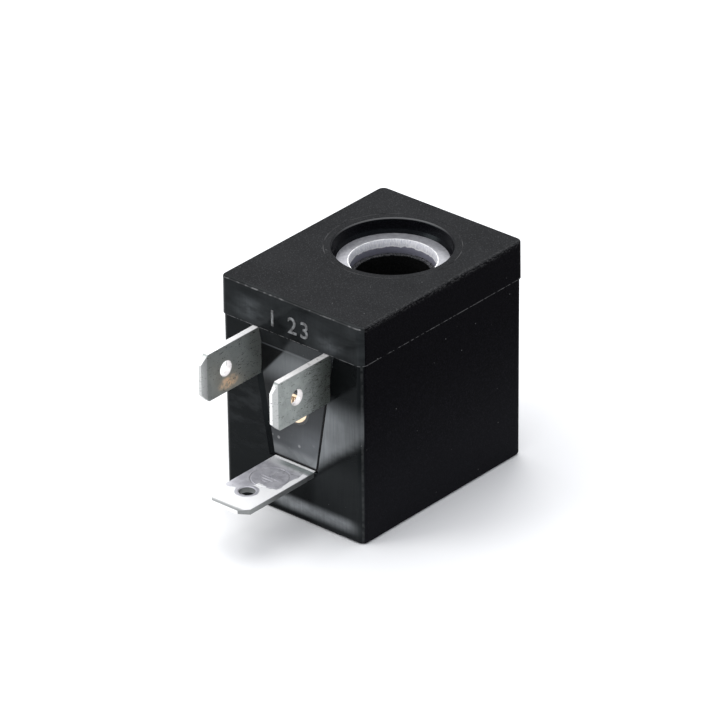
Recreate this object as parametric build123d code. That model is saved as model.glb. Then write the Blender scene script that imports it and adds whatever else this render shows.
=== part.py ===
from build123d import *
import math
import os

# Moulded solenoid coil for a small valve, in millimetres.
# Z runs up the bore axis from the base face, and the terminals point towards -Y.
# Left and right are as seen from the front, with the terminals towards the viewer.

# The block
body_width = 22.0
body_depth = 29.6
body_height = 29.0
bore_to_back = 11.05
corner_radius = 0.9
upper_band_height = 5.0
band_step = 0.12
draft_angle = 0.2
base_edge_break = 0.35
top_edge_break = 0.2
back_wall = 1.0

# The recesses round the bore, at the top and at the base
plate_cover = 1.9
nut_recess_radius = 7.2
rim_chamfer = 0.25
floor_web = 0.4
base_recess_radius = 7.0

# The bore and the spool
tube_diameter = 9.0
tube_clearance = 0.1
spool_wall = 0.8
flange_thickness = 1.0
flange_radius = 8.6
winding_radius = 7.7
tape_thickness = 0.15

# The steel bracket
plate_thickness = 1.8
yoke_width = 18.0
yoke_front = 9.0
bend_radius = 0.6
plate_corner_radius = 2.0
punched_radius = 5.15
breakout_flare = 0.15
breakout_depth = 0.9
tongue_width = 8.0
tongue_past_rivet = 2.7

# The tabs
tab_width = 6.3
tab_thickness = 0.8
tab_spacing = 11.0
power_reach = 10.0
earth_reach = 12.4
tip_chamfer = 1.15
bevel_length = 0.95
bevel_depth = 0.2
tab_hole_radius = 1.0
tab_hole_from_tip = 4.15
earth_top = 7.3
tab_bend_radius = 0.3
shank_notch = 0.5
tail_width = 1.6
tail_gap = 1.3

# The earth tab's foot and its rivet
foot_gap = 0.3
foot_past_rivet = 1.8
step_from_rivet = 2.0
rivet_radius = 1.0
rivet_head_radius = 1.7
rivet_head_height = 0.6

# The carrier and the connector recess in front of it
recess_floor_depth = 0.42
panel_top_gap = 2.0
panel_half_top = 5.6
panel_half_bottom = 3.2
panel_side_slope = 0.65
panel_lip_depth = 1.0
carrier_width = 14.4
carrier_gap = 2.75
shank_in_carrier = 1.5
carrier_above_tabs = 0.8
carrier_above_earth = 0.7
carrier_corner_radius = 1.0

# The brass insert
insert_height = 14.7
insert_radius = 2.2
insert_length = 6.0
insert_core_radius = 1.25
insert_core_depth = 5.2
insert_chamfer = 0.25
insert_groove = 0.3
insert_groove_width = 1.6

# The lead-out wires
lead_radius = 0.2
lead_gap = 0.1
sleeve_wall = 0.25
sleeve_length = 1.4
sleeve_gap = 0.1
bead_radius = 0.65
bead_length = 1.2
bead_gap = 0.1

# Places that follow from the sizes above
parting_height = body_height - upper_band_height
front = bore_to_back - body_depth
lower_front = front + band_step
body_middle = bore_to_back - body_depth / 2
recess_floor = lower_front + recess_floor_depth
base_plate_low = plate_cover
base_plate_high = base_plate_low + plate_thickness
top_plate_high = body_height - plate_cover
top_plate_low = top_plate_high - plate_thickness
leg_outer = bore_to_back - back_wall
leg_inner = leg_outer - plate_thickness
bore_radius = tube_diameter / 2 + tube_clearance
spool_radius = bore_radius + spool_wall
breakout_radius = punched_radius + breakout_flare
core_radius = (breakout_radius + spool_radius) / 2
winding_low = base_plate_high + flange_thickness
winding_high = top_plate_low - flange_thickness
tape_radius = winding_radius + tape_thickness
power_top = parting_height
power_middle = power_top - tab_width / 2
power_tip = lower_front - power_reach
earth_tip = lower_front - earth_reach
earth_low = earth_top - tab_thickness
carrier_front = recess_floor + panel_lip_depth
carrier_back = -tape_radius - carrier_gap
carrier_top = power_top + carrier_above_tabs
carrier_low = earth_top + carrier_above_earth
shank_end = carrier_back - shank_in_carrier
tail_end = -tape_radius - tail_gap
bead_front = carrier_back + bead_gap
bead_back = bead_front + bead_length
tail_face = tab_spacing / 2 - tab_thickness / 2
lead_place = tail_face - lead_gap - lead_radius
lead_height = power_middle + tail_width / 2
foot_back = -flange_radius - foot_gap
rivet_place = foot_back - foot_past_rivet
step_inner = rivet_place - step_from_rivet
step_outer = step_inner - tab_thickness
tongue_front = rivet_place - tongue_past_rivet


def disc(radius, low, high):
    """A cylinder on the bore axis between two heights."""
    return extrude(Plane.XY.offset(low) * Circle(radius), high - low)


def cone(low_radius, high_radius, low, high):
    """A cone frustum on the bore axis between two heights."""
    profile = Polyline((0, low), (low_radius, low), (high_radius, high), (0, high), close=True)
    return revolve(make_face(Plane.XZ * profile), Axis.Z)


def slab(x_low, x_high, y_low, y_high, z_low, z_high):
    """A box given by its two corners on each axis."""
    size = (x_high - x_low, y_high - y_low, z_high - z_low)
    middle = ((x_high + x_low) / 2, (y_high + y_low) / 2, (z_high + z_low) / 2)
    return Pos(*middle) * Box(*size)


def block_outline(height, inset):
    """The block's rounded outline at one height, drawn in by the inset."""
    outline = RectangleRounded(body_width - 2 * inset, body_depth - 2 * inset, corner_radius)
    return Plane.XY.offset(height) * Pos(0, body_middle) * outline


def draft_shift(length):
    """How far a drafted wall leans in over a length."""
    return length * math.tan(math.radians(draft_angle))


def block_half(parting_inset, end_height, edge_break):
    """One half of the block, drafted from the parting line to its end, where its edge is broken."""
    length = end_height - parting_height
    end_inset = parting_inset + draft_shift(abs(length))
    shoulder = end_height - math.copysign(edge_break, length)
    outlines = [block_outline(parting_height, parting_inset), block_outline(shoulder, end_inset),
                block_outline(end_height, end_inset + edge_break)]
    return loft(outlines, ruled=True)


def block():
    """Two mould halves that taper away from the parting line, the upper one slightly proud."""
    lower = block_half(band_step, 0, base_edge_break)
    upper = block_half(0, body_height, top_edge_break)
    return lower + upper


def panel_outline(place, lean):
    """The connector recess's outline at one depth: lean 0 is its floor and 1 its rim."""
    side = panel_side_slope * lean
    top = parting_height - panel_top_gap * (1 - lean)
    slope = (panel_half_top - panel_half_bottom) / (parting_height - panel_top_gap - earth_top)
    half_top = panel_half_bottom + slope * (top - earth_top) + side
    half_low = panel_half_bottom + side
    points = [(-half_low, earth_top), (half_low, earth_top), (half_top, top), (-half_top, top)]
    plane = Plane((0, place, 0), x_dir=(1, 0, 0), z_dir=(0, -1, 0))
    return make_face(plane * Polyline(*points, close=True))


def connector_recess():
    """The sloped pocket between the tabs, open to the front below the upper band."""
    past_rim = 2
    opening = panel_outline(recess_floor - past_rim * recess_floor_depth, past_rim)
    pocket = loft([panel_outline(recess_floor, 0), opening])
    below_band = slab(-body_width, body_width, 2 * front, 0, 0, parting_height)
    return pocket & below_band


def bore_recesses():
    """The nut recess at the top, the plain one at the base, and the bore between them."""
    web_high = top_plate_high + floor_web
    rim_low = body_height - rim_chamfer
    rim_high = body_height + rim_chamfer
    nut_recess = cone(nut_recess_radius - floor_web, nut_recess_radius, top_plate_high, web_high)
    nut_recess += disc(nut_recess_radius, web_high, rim_low)
    nut_recess += cone(nut_recess_radius, nut_recess_radius + 2 * rim_chamfer, rim_low, rim_high)
    base_recess = disc(base_recess_radius, 0, base_plate_low)
    core = disc(core_radius, base_plate_low, top_plate_high)
    return [nut_recess, base_recess, core]


def body_moulding(inserts):
    """The black block, moulded round everything that it holds."""
    body = block() - bore_recesses() - connector_recess()
    return body - inserts


def yoke():
    """C-shaped steel bracket: two punched plates, the back leg and the tongue for the earth tab."""
    middle = (base_plate_low + top_plate_high) / 2
    outer = slab(-yoke_width / 2, yoke_width / 2, -yoke_front, leg_outer, base_plate_low, top_plate_high)
    inner = slab(-yoke_width, yoke_width, -2 * yoke_front, leg_inner, base_plate_high, top_plate_low)
    outer = fillet(outer.edges().filter_by(Axis.X).group_by(Axis.Y)[-1], bend_radius + plate_thickness)
    inner = fillet(inner.edges().filter_by(Axis.X).group_by(Axis.Y)[-1], bend_radius)
    bracket = outer - inner
    bracket = fillet(bracket.edges().filter_by(Axis.Z).group_by(Axis.Y)[0], plate_corner_radius)
    half_tongue = tongue_width / 2
    bracket += slab(-half_tongue, half_tongue, tongue_front, -yoke_front + plate_corner_radius,
                    base_plate_low, base_plate_high)
    bracket -= disc(punched_radius, base_plate_low, top_plate_high)
    flare = cone(punched_radius, breakout_radius, top_plate_high - breakout_depth, top_plate_high)
    bracket -= flare
    bracket -= mirror(flare, Plane.XY.offset(middle))
    return bracket - rivet_shape()


def bobbin(bracket):
    """The spool: a tube with a flange at each end, each flange flat where it meets the bracket's leg."""
    spool = disc(spool_radius, base_plate_high, top_plate_low)
    spool += disc(flange_radius, base_plate_high, winding_low)
    spool += disc(flange_radius, winding_high, top_plate_low)
    spool -= slab(-yoke_width, yoke_width, leg_inner, bore_to_back, 0, body_height)
    return spool - disc(bore_radius, base_plate_high, top_plate_low) - bracket


def winding():
    """The copper between the flanges, as one solid ring."""
    return disc(winding_radius, winding_low, winding_high) - disc(spool_radius, winding_low, winding_high)


def winding_tape(leads):
    """The insulating wrap round the winding, pierced by the two lead-out wires."""
    tape = disc(tape_radius, winding_low, winding_high) - disc(winding_radius, winding_low, winding_high)
    return tape - leads


def tab_blank(tip, root):
    """A tab lying flat on the XY plane: chamfered corners, both faces bevelled at the tip, and its hole."""
    half = tab_width / 2
    outline = Polyline((-half, root), (-half, tip + tip_chamfer), (-half + tip_chamfer, tip),
                       (half - tip_chamfer, tip), (half, tip + tip_chamfer), (half, root), close=True)
    blank = extrude(make_face(outline), tab_thickness / 2, both=True)
    side = Polyline((tip, tab_thickness / 2 - bevel_depth), (tip + bevel_length, tab_thickness / 2),
                    (tip + bevel_length, tab_thickness), (tip - bevel_length, tab_thickness),
                    (tip - bevel_length, tab_thickness / 2 - bevel_depth), close=True)
    wedge = extrude(make_face(Plane.YZ * side), tab_width, both=True)
    blank -= [wedge, mirror(wedge, Plane.XY)]
    return blank - Pos(0, tip + tab_hole_from_tip) * Cylinder(tab_hole_radius, 2 * tab_thickness)


def power_terminal(side):
    """An upright tab with a notched shank in the carrier and a narrow tail for its wire."""
    blank = tab_blank(power_tip, shank_end)
    notch_place = (carrier_front + shank_end) / 2
    for edge in (-1, 1):
        notch = Cylinder(shank_notch, 2 * tab_thickness)
        blank -= Pos(edge * tab_width / 2, notch_place) * notch
    tail = slab(0, tail_width, shank_end, tail_end, -tab_thickness / 2, tab_thickness / 2)
    upright = Pos(side * tab_spacing / 2, 0, power_middle) * Rot(0, -90, 0) * (blank + tail)
    return upright


def step_profile():
    """The earth tab from the side: blade, step down and foot, with bent corners."""
    outer_bend = tab_thickness + tab_bend_radius
    foot_top = base_plate_high + tab_thickness
    points = [(recess_floor, earth_top), (step_inner, earth_top), (step_inner, foot_top),
              (foot_back, foot_top), (foot_back, base_plate_high), (step_outer, base_plate_high),
              (step_outer, earth_low), (recess_floor, earth_low)]
    face = make_face(Plane.YZ * Polyline(*points, close=True))
    outer_corners = [(step_inner, earth_top), (step_outer, base_plate_high)]
    inner_corners = [(step_inner, foot_top), (step_outer, earth_low)]
    for corners, radius in ((outer_corners, outer_bend), (inner_corners, tab_bend_radius)):
        for y, z in corners:
            corner = face.vertices().sort_by_distance(Vector(0, y, z))[0]
            face = fillet(corner, radius)
    return face


def earth_terminal():
    """The flat tab that runs under the carrier and steps down to the bracket's tongue."""
    blade = Pos(0, 0, earth_top - tab_thickness / 2) * tab_blank(earth_tip, recess_floor)
    step = extrude(step_profile(), tab_width / 2, both=True)
    return blade + step - rivet_shape()


def rivet_shape():
    """The rivet that closes the earth tab's foot on the bracket, flush with the plate below."""
    high = base_plate_high + tab_thickness
    shank = disc(rivet_radius, base_plate_low, high)
    head = disc(rivet_head_radius, high, high + rivet_head_height)
    return Pos(0, rivet_place) * (shank + head)


def insert_blank():
    """The insert's grooved outside, still solid."""
    neck = insert_radius - insert_groove
    start = (insert_length - insert_groove_width) / 2
    end = start + insert_groove_width
    points = [(0, 0), (insert_radius, 0), (insert_radius, start), (neck, start), (neck, end),
              (insert_radius, end), (insert_radius, insert_length), (0, insert_length)]
    turned = revolve(make_face(Polyline(*points, close=True)), Axis.Y)
    return Pos(0, recess_floor, insert_height) * turned


def screw_insert():
    """The brass insert behind the panel, with its chamfered blind core for the fixing screw."""
    mouth = insert_core_radius + insert_chamfer
    points = [(0, 0), (mouth, 0), (insert_core_radius, insert_chamfer),
              (insert_core_radius, insert_core_depth), (0, insert_core_depth)]
    core = revolve(make_face(Polyline(*points, close=True)), Axis.Y)
    return insert_blank() - Pos(0, recess_floor, insert_height) * core


def terminal_carrier(held):
    """The moulded block behind the panel: a trapezoid face on a wider body that grips the tabs."""
    face = extrude(panel_outline(carrier_front, 0), panel_lip_depth)
    half = carrier_width / 2
    grip = slab(-half, half, carrier_front, carrier_back, carrier_low, carrier_top)
    grip = fillet(grip.edges().filter_by(Axis.Y), carrier_corner_radius)
    return face + grip - held


def rod_along_y(radius, x, y_low, y_high, z):
    """A round rod that runs front to back."""
    plane = Plane((x, y_low, z), z_dir=(0, 1, 0))
    return extrude(plane * Circle(radius), y_high - y_low)


def lead_wire(side):
    """A lead-out wire from the winding's outer turn, forwards beside the tab's tail."""
    wire = rod_along_y(lead_radius, side * lead_place, bead_front, -spool_radius, lead_height)
    return wire - disc(winding_radius, winding_low, winding_high)


def lead_sleeve(side):
    """The insulating sleeve on a lead-out wire, between its joint and the winding."""
    start = bead_back + sleeve_gap
    end = start + sleeve_length
    outside = rod_along_y(lead_radius + sleeve_wall, side * lead_place, start, end, lead_height)
    return outside - rod_along_y(lead_radius, side * lead_place, start, end, lead_height)


def solder_bead(side, lead):
    """The collar of solder that joins the wire to the tail's inner face."""
    collar = rod_along_y(bead_radius, side * lead_place, bead_front, bead_back, lead_height)
    inner_side = slab(-tail_face, tail_face, bead_front, bead_back, 0, body_height)
    return (collar & inner_side) - lead


def build_parts():
    """Every piece by its node name."""
    right_tab = power_terminal(1)
    left_tab = power_terminal(-1)
    earth_tab = earth_terminal()
    start_lead = lead_wire(1)
    finish_lead = lead_wire(-1)
    bracket = yoke()
    parts = {
        "yoke": bracket,
        "bobbin": bobbin(bracket),
        "winding": winding(),
        "winding_tape": winding_tape([start_lead, finish_lead]),
        "power_terminal_right": right_tab,
        "power_terminal_left": left_tab,
        "earth_terminal": earth_tab,
        "earth_rivet": rivet_shape(),
        "screw_insert": screw_insert(),
        "terminal_carrier": terminal_carrier([right_tab, left_tab, earth_tab, insert_blank()]),
        "start_lead": start_lead,
        "finish_lead": finish_lead,
        "start_sleeve": lead_sleeve(1),
        "finish_sleeve": lead_sleeve(-1),
        "start_joint": solder_bead(1, start_lead),
        "finish_joint": solder_bead(-1, finish_lead),
    }
    parts["body_moulding"] = body_moulding(list(parts.values()) + [insert_blank()])
    return parts


os.makedirs("parts", exist_ok=True)
for name, shape in build_parts().items():
    export_step(shape, f"parts/{name}.step")
    print(name, len(shape.solids()), round(shape.volume, 2))
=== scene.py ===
# %% [markdown]
# # A moulded solenoid coil for a small valve
# The real part is a copper winding on a plastic spool, held in a steel bracket, with two power tabs
# and one earth tab. All of it is put in a mould and filled round with black plastic, so that only
# the tabs, a ring of the bracket and the bore can still be seen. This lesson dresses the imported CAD
# model: it remakes the pieces that show with their small edges, holes and marks, and gives every
# piece, sealed ones too, a finish made of nodes.

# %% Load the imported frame
import math

import bmesh
import bpy
from mathutils import Matrix, Vector


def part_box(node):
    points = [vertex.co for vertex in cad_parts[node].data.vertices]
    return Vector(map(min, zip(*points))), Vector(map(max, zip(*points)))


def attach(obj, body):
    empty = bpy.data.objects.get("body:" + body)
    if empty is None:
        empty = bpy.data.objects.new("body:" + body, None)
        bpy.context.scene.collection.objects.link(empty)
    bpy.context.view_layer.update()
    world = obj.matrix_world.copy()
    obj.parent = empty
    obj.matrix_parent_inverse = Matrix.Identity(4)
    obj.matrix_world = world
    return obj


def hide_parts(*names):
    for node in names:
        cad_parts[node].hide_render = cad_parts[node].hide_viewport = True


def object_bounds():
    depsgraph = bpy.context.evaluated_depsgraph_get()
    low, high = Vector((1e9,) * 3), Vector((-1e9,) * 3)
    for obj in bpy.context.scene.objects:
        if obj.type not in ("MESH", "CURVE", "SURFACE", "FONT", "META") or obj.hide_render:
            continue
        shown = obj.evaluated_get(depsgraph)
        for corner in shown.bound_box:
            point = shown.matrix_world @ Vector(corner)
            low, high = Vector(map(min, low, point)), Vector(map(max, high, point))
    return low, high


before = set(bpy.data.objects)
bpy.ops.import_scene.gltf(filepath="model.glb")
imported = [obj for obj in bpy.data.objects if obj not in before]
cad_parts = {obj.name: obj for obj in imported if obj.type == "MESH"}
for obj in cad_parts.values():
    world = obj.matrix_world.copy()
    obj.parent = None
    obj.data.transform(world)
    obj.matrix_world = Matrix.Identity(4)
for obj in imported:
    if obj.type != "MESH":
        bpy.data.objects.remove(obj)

mm = 0.001
cad_low, cad_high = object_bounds()
print("CAD size in mm:", [round(v / mm, 2) for v in cad_high - cad_low])

# %% [markdown]
# ## Working by hand, in code
# Modelling by hand is a round of three moves: add a simple solid, pick some of its faces, edges or
# corners, and change them. With no mouse, the picking is done by place: an element is picked when
# all its corners lie on a plane, such as every edge at the height of the top face. Only one piece
# is ever selected, because an operator acts on all that is.

# %% Picking and changing
close = 0.002 * mm
select_modes = {"verts": "VERT", "edges": "EDGE", "faces": "FACE"}


def select_nothing():
    """Closes any piece that is being edited, and deselects everything."""
    if bpy.context.object and bpy.context.object.mode != "OBJECT":
        bpy.ops.object.mode_set(mode="OBJECT")
    bpy.ops.object.select_all(action="DESELECT")


def alone(piece):
    """Makes this the only selected piece, in object mode."""
    select_nothing()
    piece.select_set(True)
    bpy.context.view_layer.objects.active = piece


def edit(piece):
    """Opens one piece for editing."""
    alone(piece)
    bpy.ops.object.mode_set(mode="EDIT")


def corners(element):
    """The places of an element's corners, or of a single corner."""
    return [element.co] if isinstance(element, bmesh.types.BMVert) else [v.co for v in element.verts]


def on(element, **planes):
    """True if all of the element lies on each plane, given as x=, y= or z= a value."""
    return all(abs(getattr(co, axis) - value) < close
               for axis, value in planes.items() for co in corners(element))


def middle(element):
    """The mean of the element's corners."""
    places = corners(element)
    return sum(places, Vector()) / len(places)


def along(edge, axis, shortest=0.0):
    """True if the edge runs along an axis, and is longer than the shortest."""
    run = edge.verts[0].co - edge.verts[1].co
    return abs(getattr(run, axis)) > shortest and run.length - abs(getattr(run, axis)) < close


def pick(kind, test=None, **planes):
    """Selects only the verts, edges or faces that lie on the planes and pass the test."""
    mesh = bmesh.from_edit_mesh(bpy.context.edit_object.data)
    bpy.ops.mesh.select_mode(type=select_modes[kind])
    bpy.ops.mesh.select_all(action="DESELECT")
    for element in getattr(mesh, kind):
        if on(element, **planes) and (test is None or test(element)):
            element.select_set(True)
    mesh.select_flush_mode()
    bmesh.update_edit_mesh(bpy.context.edit_object.data)


def pick_all():
    """Selects all of the open piece."""
    bpy.ops.mesh.select_all(action="SELECT")


def extrude(x=0, y=0, z=0):
    """Extrudes the picked faces by a shift."""
    bpy.ops.mesh.extrude_region_move(TRANSFORM_OT_translate={"value": (x, y, z)})


def resize(centre=(0, 0, 0), x=1, y=1, z=1):
    """Scales what is picked about a point."""
    bpy.ops.transform.resize(value=(x, y, z), center_override=centre)


def bevel(width, segments):
    """Rounds the picked edges, or cuts them flat with one segment."""
    bpy.ops.mesh.bevel(offset=width, segments=segments, affect="EDGES")


def forget_splits():
    """Joins flat neighbouring faces, so that no old cut line crosses a bevel."""
    pick_all()
    bpy.ops.mesh.dissolve_limited(angle_limit=math.radians(1))


def face_outwards():
    """Turns the front of every face outwards."""
    pick_all()
    bpy.ops.mesh.normals_make_consistent(inside=False)


def split(place, direction):
    """Cuts the picked faces in two at a plane, and keeps both sides."""
    bpy.ops.mesh.bisect(plane_co=place, plane_no=direction)


def slice_off(place, direction):
    """Cuts the piece at a plane, and drops what lies on the side that the direction points to."""
    pick_all()
    bpy.ops.mesh.bisect(plane_co=place, plane_no=Vector(direction).normalized(),
                        use_fill=True, clear_outer=True)
    face_outwards()


# %% Starting solids and modifiers
turns = {"x": (0, math.pi / 2, 0), "y": (-math.pi / 2, 0, 0), "z": (0, 0, 0)}
hair = 0.01 * mm
underneath = -1 * mm
overhead = cad_high.z + 1 * mm


def settle(piece, name):
    """Puts a new solid's place and turn into its mesh, and names it."""
    alone(piece)
    bpy.ops.object.transform_apply()
    piece.name = name
    piece.data.name = name
    return piece


def box(name, low, high):
    """A box between two corners."""
    select_nothing()
    low, high = Vector(low), Vector(high)
    bpy.ops.mesh.primitive_cube_add(size=1, location=(low + high) / 2, scale=high - low)
    return settle(bpy.context.active_object, name)


def cone(name, low_radius, high_radius, start, end, sides=128, axis="z"):
    """A cone between two points of an axis line; start is its lower end."""
    select_nothing()
    start, end = Vector(start), Vector(end)
    bpy.ops.mesh.primitive_cone_add(vertices=sides, radius1=low_radius, radius2=high_radius,
                                    depth=(end - start).length, location=(start + end) / 2,
                                    rotation=turns[axis])
    return settle(bpy.context.active_object, name)


def rod(name, radius, start, end, sides=128, axis="z"):
    """A round bar between two points of an axis line."""
    return cone(name, radius, radius, start, end, sides, axis)


def apply(piece, kind, **settings):
    """Adds a modifier with its settings and applies it."""
    alone(piece)
    modifier = piece.modifiers.new(kind.lower(), kind)
    for setting, value in settings.items():
        setattr(modifier, setting, value)
    bpy.ops.object.modifier_apply(modifier=modifier.name)


def combine(piece, tool, operation="DIFFERENCE"):
    """Cuts the tool from the piece, or joins it on, and removes the tool."""
    apply(piece, "BOOLEAN", object=tool, operation=operation, solver="EXACT")
    bpy.data.objects.remove(tool)


def drill(piece, radius, low=underneath, high=overhead, y=0, sides=128):
    """Cuts an upright round hole, through the whole height unless told where to stop."""
    combine(piece, rod("drill", radius, (0, y, low), (0, y, high), sides))


def twin(piece, name):
    """A copy with a mesh of its own."""
    select_nothing()
    copy = piece.copy()
    copy.data = piece.data.copy()
    copy.name = name
    copy.data.name = name
    bpy.context.scene.collection.objects.link(copy)
    return copy


def grown(piece):
    """A copy that is a hair larger all round, so that no face of a tool lies exactly on another."""
    tool = twin(piece, piece.name + "_tool")
    edit(tool)
    pick_all()
    bpy.ops.transform.shrink_fatten(value=hair, use_even_offset=True)
    bpy.ops.object.mode_set(mode="OBJECT")
    return tool


def soften(piece, width, angle=35):
    """Rounds every edge sharper than the angle, as tumbling, plating or long use of a mould does."""
    apply(piece, "BEVEL", width=width, segments=2, limit_method="ANGLE",
          angle_limit=math.radians(angle), use_clamp_overlap=True)


# %% [markdown]
# ## Camera, light and floor
# The photograph looks down at the coil's right front corner through a long lens, so the sides hardly
# converge. Black plastic shows little colour of its own: it shows what it mirrors. A wide soft
# light low behind the left lights the flat earth tab, whose near-white is painted too, and draws
# bright lines along upward edges, which painted highlights add to; the pale floor is what the glossy
# front mirrors, with painted reflection added.

# %% Camera
camera_target = Vector((-2.102 * mm, -3.75 * mm, 14.417 * mm))
camera_azimuth = math.radians(40.903)
camera_elevation = math.radians(28.557)
camera_roll = math.radians(-0.655)
camera_distance = 893.46 * mm

back = Vector((math.sin(camera_azimuth) * math.cos(camera_elevation),
               -math.cos(camera_azimuth) * math.cos(camera_elevation), math.sin(camera_elevation)))
level_right = Vector((math.cos(camera_azimuth), math.sin(camera_azimuth), 0))
right = level_right * math.cos(camera_roll) + back.cross(level_right) * math.sin(camera_roll)
camera_data = bpy.data.cameras.new("camera")
camera_data.lens = 375
camera_data.sensor_width = 36
camera_data.clip_start = 10 * mm
camera = bpy.data.objects.new("camera", camera_data)
camera.matrix_world = (Matrix.Translation(camera_target + back * camera_distance)
                       @ Matrix((right, back.cross(right), back)).transposed().to_4x4())
bpy.context.scene.collection.objects.link(camera)
bpy.context.scene.camera = camera

# %% Lights
light_centre = Vector((0, 0, 15 * mm))


def softbox(name, azimuth, elevation, distance, width, height, power):
    """A rectangular light that faces the part from a direction, like the views' own angles."""
    turn, lift = math.radians(azimuth), math.radians(elevation)
    away = Vector((math.sin(turn) * math.cos(lift), -math.cos(turn) * math.cos(lift), math.sin(lift)))
    data = bpy.data.lights.new(name, "AREA")
    data.shape = "RECTANGLE"
    data.size = width
    data.size_y = height
    data.energy = power
    lamp = bpy.data.objects.new(name, data)
    lamp.matrix_world = (Matrix.Translation(light_centre + away * distance)
                         @ away.to_track_quat("Z", "Y").to_matrix().to_4x4())
    lamp.visible_camera = False
    bpy.context.scene.collection.objects.link(lamp)
    return lamp


softbox("back_left_light", 221, 30, 0.5, 0.30, 0.20, 0.75)
softbox("top_light", 300, 78, 0.6, 0.5, 0.5, 1.9)
softbox("front_left_light", 319, 29, 0.5, 0.24, 0.20, 0.9)
softbox("right_light", 110, 25, 0.7, 0.3, 0.4, 0.1)

world = bpy.data.worlds.new("studio")
world.use_nodes = True
world.node_tree.nodes["Background"].inputs["Color"].default_value = (0.93, 0.95, 1.0, 1)
world.node_tree.nodes["Background"].inputs["Strength"].default_value = 0.8
bpy.context.scene.world = world
bpy.context.scene.view_settings.view_transform = "Standard"

# %% Floor
select_nothing()
bpy.ops.mesh.primitive_plane_add(size=4)
floor = settle(bpy.context.active_object, "floor")

# %% [markdown]
# ## Finishes
# A finish is a small sum over places: a noise here, a mask there, mixed into colour, roughness and
# height. Written as plain arithmetic it stays readable, so `Value` wraps a socket and adds Math
# nodes for each sign, and `Finish` has one method for every other node. All patterns are fixed to
# the piece's own coordinates, in millimetres.

# %% Node arithmetic
class Value:
    """A number that varies over the surface: a socket that takes part in sums."""

    def __init__(self, finish, socket):
        self.finish = finish
        self.socket = socket

    def math(self, operation, *others):
        inputs = dict(enumerate((self, *others)))
        node = self.finish.node("ShaderNodeMath", {"operation": operation}, inputs)
        return Value(self.finish, node.outputs[0])

    def __add__(self, other):
        return self.math("ADD", other)

    def __sub__(self, other):
        return self.math("SUBTRACT", other)

    def __rsub__(self, other):
        return (self * -1) + other

    def __mul__(self, other):
        return self.math("MULTIPLY", other)

    __radd__ = __add__
    __rmul__ = __mul__

    def size(self):
        return self.math("ABSOLUTE")

    def most(self, other):
        return self.math("MAXIMUM", other)

    def capped(self):
        return self.math("MINIMUM", 1.0)

    def distance(self, other):
        """How far a place is from a line, given how far it lies from it along two axes."""
        return (self * self + other * other).math("POWER", 0.5)

    def above(self, edge, soft):
        """Rises smoothly from 0 to 1 across an edge; soft is half the width of the rise."""
        node = self.finish.node("ShaderNodeMapRange", {"interpolation_type": "SMOOTHSTEP"},
                                {"Value": self, "From Min": edge - soft, "From Max": edge + soft})
        return Value(self.finish, node.outputs[0])

    def below(self, edge, soft):
        return 1 - self.above(edge, soft)

    def within(self, low, high, soft):
        return self.above(low, soft) * self.below(high, soft)


finishes = {}


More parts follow.
